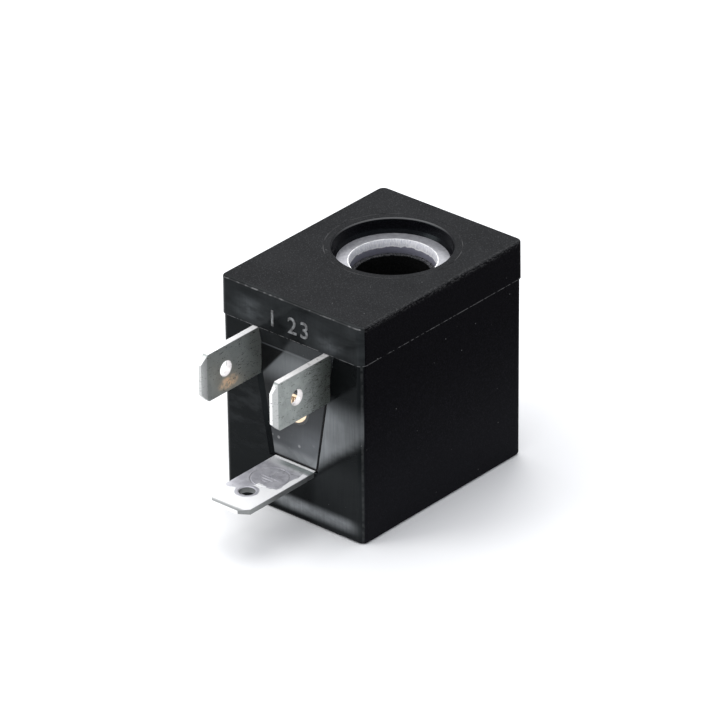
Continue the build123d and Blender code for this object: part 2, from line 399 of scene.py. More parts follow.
class Finish:
    """One finish: a principled shader, places in millimetres, and a single way to add a node."""

    def __init__(self, name, **constants):
        self.material = bpy.data.materials.new(name)
        finishes[name] = self.material
        self.material.use_nodes = True
        self.tree = self.material.node_tree
        self.tree.nodes.clear()
        self.shaders = []
        self.output = self.node("ShaderNodeOutputMaterial", {}, {"Surface": self.add_shader(constants)})
        texture_place = self.node("ShaderNodeTexCoord", {}, {}).outputs["Object"]
        self.place = self.vector("SCALE", {0: texture_place, "Scale": 1 / mm})
        split = self.node("ShaderNodeSeparateXYZ", {}, {0: self.place})
        self.axes = [Value(self, socket) for socket in split.outputs]
        self.relief = None

    def __str__(self):
        return f"{self.material.name}: {len(self.tree.nodes)} nodes"

    def add_shader(self, constants):
        """A principled shader with its own constants; it shares every link that is made later."""
        shader = self.node("ShaderNodeBsdfPrincipled", {}, {})
        for socket, constant in constants.items():
            shader.inputs[socket.replace("_", " ")].default_value = constant
        self.shaders.append(shader)
        return shader.outputs[0]

    def mix_in(self, mask, **constants):
        """Adds a second shader that shows where the mask is 1."""
        mixed = self.node("ShaderNodeMixShader", {}, {0: mask, 1: self.shaders[0].outputs[0],
                                                      2: self.add_shader(constants)})
        self.tree.links.new(mixed.outputs[0], self.output.inputs["Surface"])

    def node(self, kind, settings, inputs):
        """Adds a node: its settings first, then a value or a link for each socket named."""
        node = self.tree.nodes.new(kind)
        for setting, value in settings.items():
            setattr(node, setting, value)
        for socket, value in inputs.items():
            if isinstance(value, Value):
                value = value.socket
            if isinstance(value, bpy.types.NodeSocket):
                self.tree.links.new(value, node.inputs[socket])
            else:
                node.inputs[socket].default_value = value
        return node

    def vector(self, operation, inputs):
        return self.node("ShaderNodeVectorMath", {"operation": operation}, inputs).outputs[0]

    def noise(self, size, detail=3, roughness=0.5, distortion=0, shift=0):
        """Cloudy noise from 0 to 1 round a half. Size is in mm, one number or one for each axis."""
        sizes = size if isinstance(size, tuple) else (size, size, size)
        scaled = self.vector("MULTIPLY", {0: self.place, 1: tuple(1 / s for s in sizes)})
        moved = self.vector("ADD", {0: scaled, 1: (shift, 2 * shift, 3 * shift)})
        node = self.node("ShaderNodeTexNoise", {}, {"Vector": moved, "Scale": 1.0, "Detail": detail,
                                                    "Roughness": roughness, "Distortion": distortion})
        return Value(self, node.outputs[0])

    def dots(self, spacing, radius, shift=0):
        """Scattered round specks: 1 inside a speck. Both sizes are in mm."""
        moved = self.vector("ADD", {0: self.place, 1: (shift, shift, shift)})
        node = self.node("ShaderNodeTexVoronoi", {}, {"Vector": moved, "Scale": 1 / spacing})
        return Value(self, node.outputs["Distance"]).below(radius / spacing, 0.4 * radius / spacing)

    def blend(self, mask, colour, other):
        """The first colour where the mask is 0, and the other where it is 1."""
        inputs = {0: mask}
        for socket, value in ((6, colour), (7, other)):
            inputs[socket] = (*value, 1) if isinstance(value, tuple) else value
        return self.node("ShaderNodeMix", {"data_type": "RGBA"}, inputs).outputs[2]

    def colour(self, mask, colour, other):
        """Blends the topmost layer of colour, and links it."""
        self.feed("Base Color", self.blend(mask, colour, other))

    def raise_by(self, height, depth):
        """Adds relief; depth in mm is how far a height of 1 stands up."""
        inputs = {"Height": height, "Strength": 1.0, "Distance": depth * mm}
        if self.relief:
            inputs["Normal"] = self.relief
        self.relief = self.node("ShaderNodeBump", {}, inputs).outputs[0]
        self.feed("Normal", self.relief)

    def feed(self, socket, value):
        """Links a varying value or colour to a socket of every shader."""
        for shader in self.shaders:
            self.tree.links.new(value.socket if isinstance(value, Value) else value, shader.inputs[socket])


def shade(level, tint=(1, 1, 1)):
    """A grey of one level, tinted."""
    return tuple(level * part for part in tint)


# %% [markdown]
# ### Black moulding
# The top is matt and grained, and the sides are darker, smoother and finely sparkling. The mould's
# front wall was polished, so the front is glossy. It mirrors pale things round it, more than the few
# lights here can give, so painted reflection draws the rest: a smear of the floor low down, patches
# on the upper band and a pale zone right of the panel. Painted highlights draw the edges: a broken
# line along the front top edge, one down the front corner, the recess's rim and dots along the
# parting step. Scuffs on the right top edge are wear.

# %% Black moulding finish
# Places are in mm
block_top = 29.0
parting_line = 24.0
recess_rim = 7.45
wall_draft = 0.0035
front_zone = -17.95
cool = (0.95, 1, 1.03)
finish = Finish("black_moulding", IOR=1.5, Specular_IOR_Level=0.006)
(x, y, z), noise, blend = finish.axes, finish.noise, finish.blend
on_top = z.above(block_top - 0.12, 0.08)
from_axis = x.distance(y)
in_recess = from_axis.below(recess_rim, 0.05) * z.below(block_top - 0.1, 0.05)
on_front = y.below(front_zone, 0.04)
on_wall = (y + wall_draft * z).below(-18.32, 0.012)
top_edge = on_front * z.above(block_top - 0.24, 0.03)
crease = (1 - on_wall) * x.within(2.5, 7.2, 0.2) * z.below(21.6, 0.3)
polished = (on_front * (1 - 0.65 * top_edge) * (1 - 0.85 * crease)).most(in_recess)
finish.mix_in(polished, IOR=1.5, Specular_IOR_Level=0.07, Specular_Tint=(0.78, 0.94, 1.0, 1))

grain = noise(0.16)
sparkle = noise(0.11, detail=2, shift=17)
coarse_grain = noise(0.5, detail=2, shift=7)
cloud = noise(6.0, shift=3)
flow = noise((5.0, 5.0, 1.6), detail=4, distortion=0.6, shift=11)
wisps = noise((3.2, 1.6, 1.3), detail=4, roughness=0.6, shift=14)
fine_streaks = noise((0.22, 1.0, 3.5), shift=19)

# Marks: painted highlights along the front top edge, down the front corner, on the recess's rim and in dots at the
# parting; scuffs and dust, which are wear, and the witness ring
scuff = x.above(10.6, 0.2) * z.above(block_top - 0.5, 0.25)
scuff = scuff * noise((0.12, 0.3, 0.12), shift=5).above(0.56, 0.1)
bright_segments = noise((1.1, 1, 1), detail=4, shift=9).above(0.51, 0.07)
# Painted highlight along the front top edge, in brighter segments, brightest at the right end
edge_glint = y.below(-18.3, 0.06) * z.within(block_top - 0.17, block_top - 0.05, 0.04)
edge_glint = edge_glint * (0.30 + 1.2 * bright_segments + 0.9 * x.above(9.7, 0.4))
# Painted highlight down the front right corner, below the parting
corner = (x - y - 2 * wall_draft * z).within(28.595, 28.64, 0.01) * z.below(parting_line - 0.1, 0.1)
corner = corner * noise((1, 1, 0.7), shift=8).above(0.45, 0.2)
# Painted highlight on the far side of the recess's rim chamfer
rim = from_axis.within(recess_rim - 0.19, recess_rim - 0.05, 0.02)
rim = rim * z.above(block_top - 0.3, 0.05) * (y - 0.87 * x).above(5.5, 3.5)
witness = from_axis.within(8.21, 8.31, 0.03) * on_top * noise(1.9, detail=4, shift=15).above(0.49, 0.12)
# Painted highlight in broken dots along the parting step
parting_glints = z.within(parting_line - 0.06, parting_line + 0.08, 0.04) * noise(0.45, shift=2).above(0.47, 0.08)
dust = finish.dots(1.5, 0.055) * noise(2.5, detail=2, shift=4).above(0.52, 0.1)
# Wear, dust and the witness ring, summed with the painted highlights
wear_and_highlights = scuff * 0.10 + edge_glint * 0.28 + parting_glints * 0.34 + corner * 0.07 + dust * 0.5
wear_and_highlights = (wear_and_highlights + rim * 0.30 + witness * 0.20).capped()

# Painted reflection on the polished front: the floor's smear low down, the patches by the tab roots on the band, and
# the pale zone by the panel
low_floor_reflection = z.within(1.2, 2.6, 0.6) * x.within(-3.5, 8.8, 2.0)
low_floor_reflection = low_floor_reflection * (0.58 + 0.38 * wisps.above(0.5, 0.2))
left_patch = x.within(-8.0, -4.4, 1.8) * wisps.above(0.5, 0.26) * 0.75
right_patch = x.within(4.6, 7.4, 1.6) * z.below(25.8, 1.4) * wisps.above(0.46, 0.24) * 1.2
band_root_reflections = z.within(24.6, 27.2, 1.3) * (left_patch + right_patch)
on_slope = (1 - on_wall) * x.size().below(7.2, 0.1)
rise = z - 0.8 * (x - 5.25) + 0.8 * (wisps - 0.5)
pale_zone = x.above(2.0, 0.4) * rise.above(9.6, 1.2) * z.below(17.0, 2.0)
pale_zone = pale_zone * (1.1 - 0.11 * (x - 6.0)) * (0.85 + 0.3 * wisps) * (1 - on_slope)
faint = 0.12 * x.above(3.0, 1.0) * z.below(9.5, 2.0) * (1 - on_slope)
left_wisps = x.below(-4.0, 1.5) * z.within(8.0, 17.0, 3.0) * wisps.above(0.56, 0.12) * on_wall
upper_band_sheen = z.above(parting_line - 0.1, 0.1) * flow.above(0.5, 0.4) * (1 + 0.6 * x.above(2.0, 3.0))
beside_shadow = (z - 1.15 * x).below(23.9, 0.5)
top_slope = z.within(21.9, 23.9, 0.1) * (0.08 + 0.24 * beside_shadow)
slope_reflection = on_slope * (top_slope + x.below(-2.0, 0.5) * 0.06)
streaky = on_front * (0.72 + 0.56 * fine_streaks)
painted_reflection = streaky * (band_root_reflections * 0.8 + left_wisps * 0.12 + faint + upper_band_sheen * 0.17 + slope_reflection)
bright_reflection = streaky * (pale_zone * 0.54 + low_floor_reflection)

side = blend(sparkle.above(0.6, 0.1), shade(0.0018, (1, 0.95, 1.3)), shade(0.009, (1, 0.95, 1.25)))
side = blend(z.below(11.0, 11.0) * 0.08, side, shade(0.085, (0.97, 1, 1.12)))
top_tint = (0.98, 1, 1.05)
top = blend(cloud.above(0.5, 0.25), shade(0.0165, top_tint), shade(0.0215, top_tint))
top = blend(grain.above(0.60, 0.06), top, shade(0.040, top_tint))
front = blend(flow, shade(0.0015, (0.9, 1, 1.1)), shade(0.004, (0.9, 1, 1.1)))
black = blend(on_front, blend(on_top, side, top), front)
# The painted reflection is laid over the black, the brighter part last
with_reflection = blend(painted_reflection.capped(), black, shade(0.085, (0.93, 1, 1.05)))
with_reflection = blend(bright_reflection.capped(), with_reflection, shade(0.28, cool))
finish.colour(wear_and_highlights, with_reflection, shade(0.34))

roughness = (0.42 + 0.10 * (coarse_grain - 0.5)) * (1 - on_top) + on_top * 0.5
roughness = roughness * (1 - on_front) + on_front * (0.10 + 0.14 * flow.above(0.52, 0.25))
roughness = roughness * (1 - in_recess) + in_recess * 0.24 + 0.3 * top_edge
finish.feed("Roughness", roughness + 0.25 * wear_and_highlights)

unpolished = 1 - on_front * 0.97
finish.raise_by(grain * unpolished * (1 - in_recess * 0.8), 0.03)
finish.raise_by(coarse_grain * unpolished, 0.02)
finish.raise_by(flow * on_front, 0.02)
print(finish)

# %% [markdown]
# The raised figures are the moulding's own plastic, painted pale in a mottle as a painted highlight on their round
# strokes.

# %% Digits with a painted highlight
finish = Finish("highlit_digits", IOR=1.5, Specular_IOR_Level=0.2)
pale_mottle = finish.noise(0.6, detail=4, shift=6)
# Painted highlight: the strokes pale grey in a mottle
finish.colour(pale_mottle.above(0.5, 0.15), shade(0.08), shade(0.22, (0.97, 1, 1.02)))
finish.feed("Roughness", 0.35 + 0.2 * pale_mottle)
print(finish)

# %% [markdown]
# ### Metals
# The tabs are brass strip plated with tin: a dull greenish grey with fine scratches and dark pits,
# with painted shade darkening it towards the root, by the wall, and paler on the cut edges and at
# the tip. The left tab is painted lighter than the right, and the right one's cut edge and end carry
# a painted highlight. The earth tab's top is pale tin painted nearly white as glare, but for a greyer
# patch round the pressed symbol. The bracket is zinc-plated steel, and the wall of its hole has two
# bands: a punch first shears a bright one, then the rest tears, and a wavy line parts the two, with
# broken painted highlights along it and round the hole's edges. The insert is bare brass, turned on
# a lathe.

# %% Marks on tin
def tin_marks(finish):
    """The brushing, mottling, pits and scratches that both kinds of tab share."""
    x, y, z = finish.axes
    brushing = finish.noise((0.05, 6.0, 0.05), detail=4, roughness=0.65)
    mottle = finish.noise(0.9, detail=4, shift=3)
    near_root = y.above(-22.5, 1.6)
    pitted = (finish.noise(1.8, shift=8) + 0.06 * near_root).above(0.56, 0.05)
    pits = finish.dots(0.55, 0.07, shift=2) * pitted
    strokes = finish.noise((1.0, 0.8, 0.24), distortion=2.2, shift=5)
    scratches = (strokes + (0.03 + 0.06 * x.above(0, 0.5)) * near_root).above(0.655, 0.02)
    finish.raise_by(brushing, 0.004)
    finish.raise_by(pits + scratches, -0.006)
    return brushing, mottle, pits, scratches


# %% [markdown]
# The power tabs carry dull greenish tin, paler where the blanking tool cut it, with painted shade towards the root
# and a painted highlight on the right tab's cut edge and end.

# %% Tin on the power tabs
# Places on the upright tabs, in mm
cut_edge_height = 23.93
tip_slope_start = -27.52
tip_end = -28.37
upright_hole = (-24.28, 20.85)
finish = Finish("tinned_upright_tab", IOR=1.5)
(x, y, z), blend = finish.axes, finish.blend
brushing, mottle, pits, scratches = tin_marks(finish)
on_right = x.above(0, 0.5)
cut = z.above(cut_edge_height, 0.02)
end = y.below(tip_end, 0.02) * on_right
forward, up = y - upright_hole[0], z - upright_hole[1]
in_hole = forward.distance(up).below(1.03, 0.02)

# The insert's mirror image, a warm patch on the side of the left tab that faces the other
sideways, down = forward - 0.4, up + 1.95
patch = (sideways * sideways * 0.30 + down * down * 1.3).below(0.75, 0.6)
patch = patch * x.within(-5.2, -5.0, 0.03) * (0.35 + mottle.above(0.47, 0.14))

tin = blend(mottle.above(0.5, 0.2), (0.25, 0.27, 0.26), (0.32, 0.345, 0.33))
# Painted shade: darker towards the root, by the wall
tin = blend(y.above(-20.6, 1.6) * 0.72, tin, (0.08, 0.095, 0.08))
# Painted light: the left tab lighter than the right
tin = blend(x.below(0, 0.5) * 0.26, tin, (0.62, 0.64, 0.62))
tin = blend((patch * 0.9).capped(), tin, (0.95, 0.74, 0.54))
tin = blend(y.below(tip_slope_start, 0.05), tin, (0.52, 0.53, 0.52))
# The cut edges are paler; on the right tab the cut edge and the end are painted nearly white as a highlight
edge_tin = blend(on_right * (1 - end), (0.92, 0.91, 0.90), (0.58, 0.57, 0.56))
tin = blend(cut.most(end), tin, edge_tin)
tin = blend(in_hole, tin, (0.76, 0.73, 0.72))
worn_through = (pits + scratches * 0.9).capped() * (1 - 0.7 * cut.most(in_hole))
finish.colour(worn_through, tin, (0.05, 0.05, 0.045))
finish.feed("Metallic", 0.62 - 0.47 * cut.most(end).most(in_hole))
finish.feed("Roughness", 0.33 + 0.14 * (mottle - 0.5) + 0.10 * (brushing - 0.5) + 0.25 * pits)
print(finish)

# %% [markdown]
# The earth tab is pale tin painted nearly white as glare, with a greyer patch of wandering outline round the symbol
# and painted light and shade by its root.

# %% Tin on the earth tab
# Places on the earth tab, in mm
flat_face_height = 7.2
flat_hole = -26.68
flat_tip = -30.75
finish = Finish("tinned_flat_tab", IOR=1.5)
(x, y, z), blend = finish.axes, finish.blend
brushing, mottle, pits, scratches = tin_marks(finish)
wander = 1.4 * (finish.noise(1.7, shift=12) - 0.5)
dull = (y + wander).above(-24.4, 0.12) * (x + wander * 0.5).below(2.5, 0.12)
dull = dull.most((y + wander).above(-27.2, 0.15) * (x + wander).below(-0.2, 0.15))
dull = dull.most((y + 0.3 * wander).above(-19.5, 0.1))
dull = dull.most((x.distance(y - flat_hole) + 0.35 * wander).below(1.45, 0.08))
# Painted highlight: a white line along the root, by the wall
root_highlight = y.within(-18.44, -18.03, 0.03)
grey = blend(mottle.above(0.5, 0.2), (0.43, 0.425, 0.465), (0.56, 0.555, 0.59))
# Painted light: lighter near the root
grey = blend(y.above(-19.6, 0.9), grey, (0.80, 0.80, 0.81))
# Painted shade: darker at the root on its right part
grey = blend(y.above(-19.35, 0.35) * x.above(-1.6, 1.2), grey, (0.30, 0.33, 0.325))
grey = blend(root_highlight, grey, (1.0, 1.0, 1.0))
on_face = z.above(flat_face_height, 0.05)
# Painted glare: the top nearly white outside the greyer patch
top = blend(dull * on_face, (0.93, 0.93, 0.93), grey)
side = blend(y.below(-27.0, 2.5), (0.10, 0.105, 0.105), (0.24, 0.25, 0.245))
end = y.below(flat_tip, 0.03).most((x + y).below(-32.7, 0.08))
tin = blend(on_face, blend(end, side, (0.95, 0.95, 0.95)), top)
worn_through = (pits * 0.6 + scratches * 0.3).capped() * dull
finish.colour(worn_through, tin, (0.16, 0.16, 0.17))
finish.feed("Metallic", 0.15 + 0.25 * dull * (1 - root_highlight))
finish.feed("Roughness", 0.36 + 0.14 * (mottle - 0.5) + 0.10 * (brushing - 0.5))
print(finish)

# %% [markdown]
# The bracket's steel shows the two bands that a punch leaves in a hole's wall.

# %% Zinc-plated steel
# The bracket's middle height, half its height, and the depth of the sheared band, in mm
bracket_middle = 14.5
bracket_half = 12.6
shear_depth = 0.9
finish = Finish("zinc_plated_steel")
(x, y, z), noise, blend = finish.axes, finish.noise, finish.blend
from_axis = x.distance(y)
from_middle = (z - bracket_middle).size()
in_hole = from_axis.below(5.34, 0.03)
depth = bracket_half - from_middle + 0.55 * (noise((0.8, 0.8, 4.0), shift=6) - 0.5)
torn = in_hole * depth.above(shear_depth, 0.03)
# Painted highlight: broken white lines along the wavy parting of the bands and round the hole's edges
hole_edge_highlight = in_hole * depth.within(shear_depth - 0.10, shear_depth + 0.05, 0.04)
hole_edge_highlight = hole_edge_highlight.most(from_axis.within(5.27, 5.42, 0.03) * from_middle.above(bracket_half - 0.03, 0.02))
streaks = noise((0.10, 0.10, 3.0), roughness=0.6)
crystals = noise(0.35, detail=4, shift=4)
plated = blend(crystals.above(0.5, 0.2), (0.26, 0.26, 0.28), (0.35, 0.35, 0.37))
sheared = blend(streaks.above(0.5, 0.25), (0.62, 0.62, 0.69), (1.0, 1.0, 1.0))
steel = blend(torn, blend(in_hole, plated, sheared), (0.21, 0.21, 0.26))
bright = hole_edge_highlight * (0.4 + 0.6 * noise(0.6, shift=9).above(0.48, 0.12))
finish.colour(bright.capped(), steel, (1.0, 1.0, 1.0))
finish.feed("Metallic", 0.5 - 0.25 * in_hole)
finish.feed("Roughness", 0.44 + 0.12 * (crystals - 0.5) + 0.22 * torn)
finish.raise_by(streaks * in_hole, 0.012)
finish.raise_by(crystals, 0.006)
print(finish)

# %% [markdown]
# The insert is bare brass with the fine rings of a lathe tool, and a thin skin of plastic over
# its rim.

# %% Turned brass
# The insert's axis and the edge of the skin over its rim, in mm
insert_axis_height = 14.7
skin_depth = -17.91
skin_radius = 1.86
finish = Finish("turned_brass", IOR=1.5)
x, y, z = finish.axes
rings = finish.noise((0.4, 0.05, 0.4), detail=2)
tarnish = finish.noise(0.8, shift=5)
from_axis = x.distance(z - insert_axis_height)
skin = (from_axis + 0.12 * (tarnish - 0.5)).above(skin_radius, 0.03) * y.below(skin_depth, 0.02)
brass = finish.blend(tarnish.above(0.5, 0.2), (0.96, 0.80, 0.60), (0.86, 0.64, 0.42))
finish.colour(skin, brass, shade(0.03, (0.95, 1, 1.05)))
finish.feed("Metallic", 1 - skin)
finish.feed("Roughness", 0.30 + 0.18 * (tarnish - 0.5))
finish.raise_by(rings, 0.006)
print(finish)

# %% [markdown]
# The rivet is plated steel, with the dimples of the setting tool.

# %% Plated rivet
finish = Finish("plated_rivet", Metallic=1.0)
dimples = finish.noise(0.25, detail=2)
finish.colour(dimples, (0.55, 0.55, 0.53), (0.70, 0.70, 0.68))
finish.feed("Roughness", 0.28 + 0.2 * (dimples - 0.5))
finish.raise_by(dimples, 0.01)
print(finish)

# %% [markdown]
# Solder is bright, slightly frosted where it froze, with dark patches of flux.

# %% Solder
finish = Finish("solder", Metallic=1.0)
frost = finish.noise(0.12, detail=4)
flux = finish.noise(0.5, shift=6).above(0.6, 0.05)
tin = finish.blend(frost, (0.68, 0.68, 0.70), (0.85, 0.85, 0.86))
finish.colour(flux * 0.6, tin, (0.30, 0.20, 0.10))
finish.feed("Roughness", 0.22 + 0.25 * frost)
finish.raise_by(frost, 0.01)
print(finish)

# %% [markdown]
# ### Sealed pieces
# Nobody sees the winding once the coil is moulded, but each piece is still a part of its own. The
# wire has a clear amber enamel over copper, the tape is yellow polyester film, the sleeves are
# varnished glass braid, and the spool is dark nylon.

# %% Enamelled copper
wire_pitch = 0.35
finish = Finish("enamelled_copper", Metallic=1.0, Coat_Roughness=0.12)
age = finish.noise(1.2)
turn = finish.noise((3.0, 3.0, wire_pitch), detail=1, shift=2)
copper = finish.blend(age.above(0.5, 0.25), (0.62, 0.22, 0.09), (0.80, 0.36, 0.16))
finish.colour(turn.above(0.58, 0.1) * 0.5, copper, (0.42, 0.13, 0.05))
finish.feed("Coat Weight", 0.6 + 0.3 * age)
finish.feed("Roughness", 0.24 + 0.14 * (turn - 0.5))
finish.raise_by(age, 0.004)
print(finish)

# %% Polyester tape
finish = Finish("polyester_tape", IOR=1.6)
wrinkles = finish.noise((1.6, 1.6, 0.35), detail=4, distortion=0.5)
bubbles = finish.dots(0.9, 0.12) * finish.noise(2.0, detail=2, shift=5).above(0.55, 0.08)
film = finish.blend(wrinkles.above(0.5, 0.2), (0.72, 0.50, 0.06), (0.85, 0.64, 0.12))
finish.colour(bubbles * 0.5, film, (0.90, 0.76, 0.35))
finish.feed("Roughness", 0.30 + 0.2 * (wrinkles - 0.5))
finish.raise_by(wrinkles, 0.03)
print(finish)

# %% Glass braid
finish = Finish("glass_braid", IOR=1.52)
x, y, z = finish.axes
strand = 0.16
rising = (x + z + y) * (2 * math.pi / strand)
falling = (x + z - y) * (2 * math.pi / strand)
weave = rising.math("SINE") * falling.math("SINE") * 0.5 + 0.5
varnish = finish.noise(0.4)
cloth = finish.blend(weave, (0.42, 0.33, 0.18), (0.80, 0.72, 0.50))
finish.colour(varnish.above(0.55, 0.1) * 0.4, cloth, (0.55, 0.40, 0.18))
finish.feed("Roughness", 0.5 - 0.2 * varnish)
finish.raise_by(weave, 0.03)
print(finish)

# %% [markdown]
# The spool is dark glass-filled nylon. Its bore carries the fine lengthways marks of its core pin.

# %% Spool nylon
finish = Finish("spool_nylon", IOR=1.5, Specular_IOR_Level=0.06)
drag = finish.noise((0.12, 0.12, 3.0))
fibres = finish.noise((0.08, 0.5, 0.08), distortion=1.0, shift=3)
rim = finish.axes[2].above(25.22, 0.05)
black = finish.blend(fibres.above(0.55, 0.12), shade(0.003), shade(0.012))
finish.colour(rim * drag.above(0.5, 0.1), black, shade(0.09, (1, 1, 1.05)))
finish.feed("Roughness", 0.42 + 0.2 * (fibres - 0.5))
finish.raise_by(drag, 0.012)
finish.raise_by(fibres, 0.006)
print(finish)

# %% [markdown]
# The carrier's polished face. Its mirror images of the earth tab and of the pale floor below it are painted
# reflection, with painted highlight and shade at its top edge and foot.

# %% The carrier's polished black
# The panel's foot, half its width there, and how it widens upwards, in mm
panel_foot = 7.3
panel_foot_half = 3.2
panel_flank = 0.163
finish = Finish("carrier_black", IOR=1.5, Specular_IOR_Level=0.08)
(x, y, z), blend = finish.axes, finish.blend
flow = finish.noise((4.0, 4.0, 2.0), detail=4, distortion=0.7, shift=21)
streaks = finish.noise((0.25, 1.0, 5.0), shift=23)
grain = finish.noise(0.2, detail=2)
on_face = y.below(front_zone, 0.03)
half_at_zero = panel_foot_half - panel_foot * panel_flank
uncreased = on_face * (1 - (x - panel_flank * z).above(half_at_zero - 0.05, 0.04))
# Painted reflection of the pale floor, stronger low down and to the right
floor_reflection = 0.05 + 0.32 * z.below(15.5, 4.0) + 0.5 * z.below(11.5, 2.2)
floor_reflection = floor_reflection * (0.60 + 0.8 * x.above(0.3, 3.3)) * (0.8 + 0.4 * flow)
floor_reflection = floor_reflection * (0.85 + 0.3 * streaks) * uncreased
# Painted reflection: a pale patch at the lower right of the panel
corner = (x - z + 8.0 + (flow - 0.5)).above(2.6, 1.3) * uncreased
# Painted sheen on the upper panel, right of the left tab's dark reflection
sheen = (z - 1.15 * x).below(23.5, 0.3) * z.within(18.0, 21.75, 1.6)
sheen = sheen * (0.80 + 0.35 * streaks) * uncreased
spots = finish.dots(1.3, 0.20, shift=6) * z.below(10.2, 0.8) * on_face
# Painted reflection of the earth tab, just above its root
low_patch = z.within(7.6, 8.9, 0.5) * (0.25 + flow.above(0.5, 0.25)) * uncreased
# Painted highlight along the panel's top edge
top_line = z.within(21.7, 21.9, 0.05) * on_face
# Painted shade: a dark line at the panel's foot, in the crease above the earth tab
foot_line = z.below(panel_foot + 0.32, 0.12) * on_face
face = blend(flow, shade(0.0015, (0.95, 1, 1.1)), shade(0.004, (0.95, 1, 1.05)))
face = blend((floor_reflection + top_line * 0.5).capped(), face, shade(0.12, (0.93, 0.99, 1.05)))
face = blend(sheen.capped(), face, shade(0.17, (0.94, 1, 1.03)))
face = blend((corner * 0.8).most(low_patch * 0.45), face, shade(0.34, (0.96, 1, 1.02)))
face = blend(foot_line, face, shade(0.002))
finish.colour(spots * 0.5, face, shade(0.42))
finish.feed("Roughness", 0.10 + 0.14 * flow.above(0.52, 0.25))
finish.raise_by(flow, 0.02)
finish.raise_by(grain, 0.0012)
print(finish)

# %% Floor finish
finish = Finish("pale_floor", Specular_IOR_Level=0.2)
paper = finish.noise(40.0)
finish.colour(paper, shade(0.90), shade(0.92))
finish.feed("Roughness", 0.8 + 0.1 * paper)
print(finish)
floor.data.materials.append(finish.material)
print(len(finishes), "finishes")

# %% [markdown]
# ## Handing a piece over
# Each new piece ends the same way: smooth shading up to an angle, normals weighted by area so that
# the flats stay flat beside the small rounds, its finish, and two calls: one hangs it on the body it
# rides on, and one hides the CAD nodes it stands for.

# %% The last steps of every piece
def hand_over(piece, finish_name, slot, *stands_for):
    """Shades and paints a finished piece, hangs it on the root body and hides the CAD nodes it stands for."""
    alone(piece)
    bpy.ops.object.shade_smooth_by_angle(angle=math.radians(32))
    apply(piece, "WEIGHTED_NORMAL", keep_sharp=True)
    piece.data.materials.clear()
    piece.data.materials.append(finishes[finish_name])
    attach(piece, "root")
    if stands_for:
        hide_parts(*stands_for)
    low, high = (Vector(c) for c in (piece.bound_box[0], piece.bound_box[6]))
    print(piece.name, len(piece.data.polygons), "faces,", [round(v / mm, 2) for v in high - low], "mm")


# %% [markdown]
# ## The bracket
# The magnetic circuit is one strip of steel, bent to a C: a plate under the winding, a leg behind
# it and a plate on top. Extruding follows the real strip: the base plate first, then its back end
# up, then the top of the leg forwards. The bends are bevels, with the outer radius one thickness
# larger than the inner one, and the holes are cut last, as the press does.

# %% Bracket
bracket_low, bracket_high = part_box("yoke")
plate_thickness = 1.8 * mm
plate_front = -9.0 * mm
leg_front = bracket_high.y - plate_thickness
base_top = bracket_low.z + plate_thickness
ring_under = bracket_high.z - plate_thickness

bracket = box("bracket", (bracket_low.x, plate_front, bracket_low.z),
              (bracket_high.x, bracket_high.y, base_top))
edit(bracket)
pick_all()
split((0, leg_front, 0), (0, 1, 0))
pick("faces", lambda f: middle(f).y > leg_front, z=base_top)
extrude(z=ring_under - base_top)
extrude(z=plate_thickness)
pick("faces", lambda f: middle(f).z > ring_under, y=leg_front)
extrude(y=plate_front - leg_front)
forget_splits()

# %% Its bends, corners and tongue
bend_radius = 0.6 * mm
plate_corner = 2.0 * mm
tongue_half = 4.0 * mm


def on_base_front(face):
    """True for a face on the front edge of the base plate."""
    return on(face, y=plate_front) and middle(face).z < base_top


pick("edges", lambda e: on(e, z=bracket_low.z) or on(e, z=bracket_high.z), y=bracket_high.y)
bevel(bend_radius + plate_thickness, 10)
pick("edges", lambda e: on(e, z=base_top) or on(e, z=ring_under), y=leg_front)
bevel(bend_radius, 5)
pick("edges", lambda e: along(e, "z"), y=plate_front)
bevel(plate_corner, 10)
for side in (-tongue_half, tongue_half):
    pick("faces", on_base_front)
    split((side, 0, 0), (1, 0, 0))
pick("faces", lambda f: on_base_front(f) and abs(middle(f).x) < tongue_half)
extrude(y=bracket_low.y - plate_front)

# %% Its punched holes
punched_radius = 5.15 * mm
breakout_radius = 5.3 * mm
breakout_depth = 0.9 * mm
tool_margin = 0.1 * mm
rivet_radius = 1.0 * mm
rivet_place = -10.7 * mm

drill(bracket, punched_radius)
flare = (breakout_radius - punched_radius) / breakout_depth
wide = breakout_radius + flare * tool_margin
combine(bracket, cone("punch", punched_radius, wide, (0, 0, bracket_high.z - breakout_depth),
                      (0, 0, bracket_high.z + tool_margin)))
combine(bracket, cone("punch", wide, punched_radius, (0, 0, bracket_low.z - tool_margin),
                      (0, 0, bracket_low.z + breakout_depth)))
drill(bracket, rivet_radius, y=rivet_place, sides=48)
bracket_blank = twin(bracket, "bracket_blank")
soften(bracket, 0.05 * mm)
hand_over(bracket, "zinc_plated_steel", "yoke_steel", "yoke")

# %% [markdown]
# ## The spool
# The winding is carried by a thin tube with a flange at each end. It is turned up from one disc:
# the lower flange, its top face drawn in and raised to be the tube, then drawn out again for the
# upper flange. Cutting the bracket from it leaves the flats where the flanges meet the leg.

# %% Spool
spool_low, spool_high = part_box("bobbin")
winding_low, winding_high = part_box("winding")
flange_radius = 8.6 * mm
tube_outside = 5.4 * mm
bore_radius = 4.6 * mm

spool = rod("spool", flange_radius, (0, 0, spool_low.z), (0, 0, winding_low.z))
edit(spool)
pick("faces", z=winding_low.z)
for ratio, rise in ((tube_outside / flange_radius, winding_high.z - winding_low.z),
                    (flange_radius / tube_outside, spool_high.z - winding_high.z)):
    extrude()
    resize(x=ratio, y=ratio)
    extrude(z=rise)
drill(spool, bore_radius)
combine(spool, grown(bracket_blank))
soften(spool, 0.06 * mm)
hand_over(spool, "spool_nylon", "spool_plastic", "bobbin")

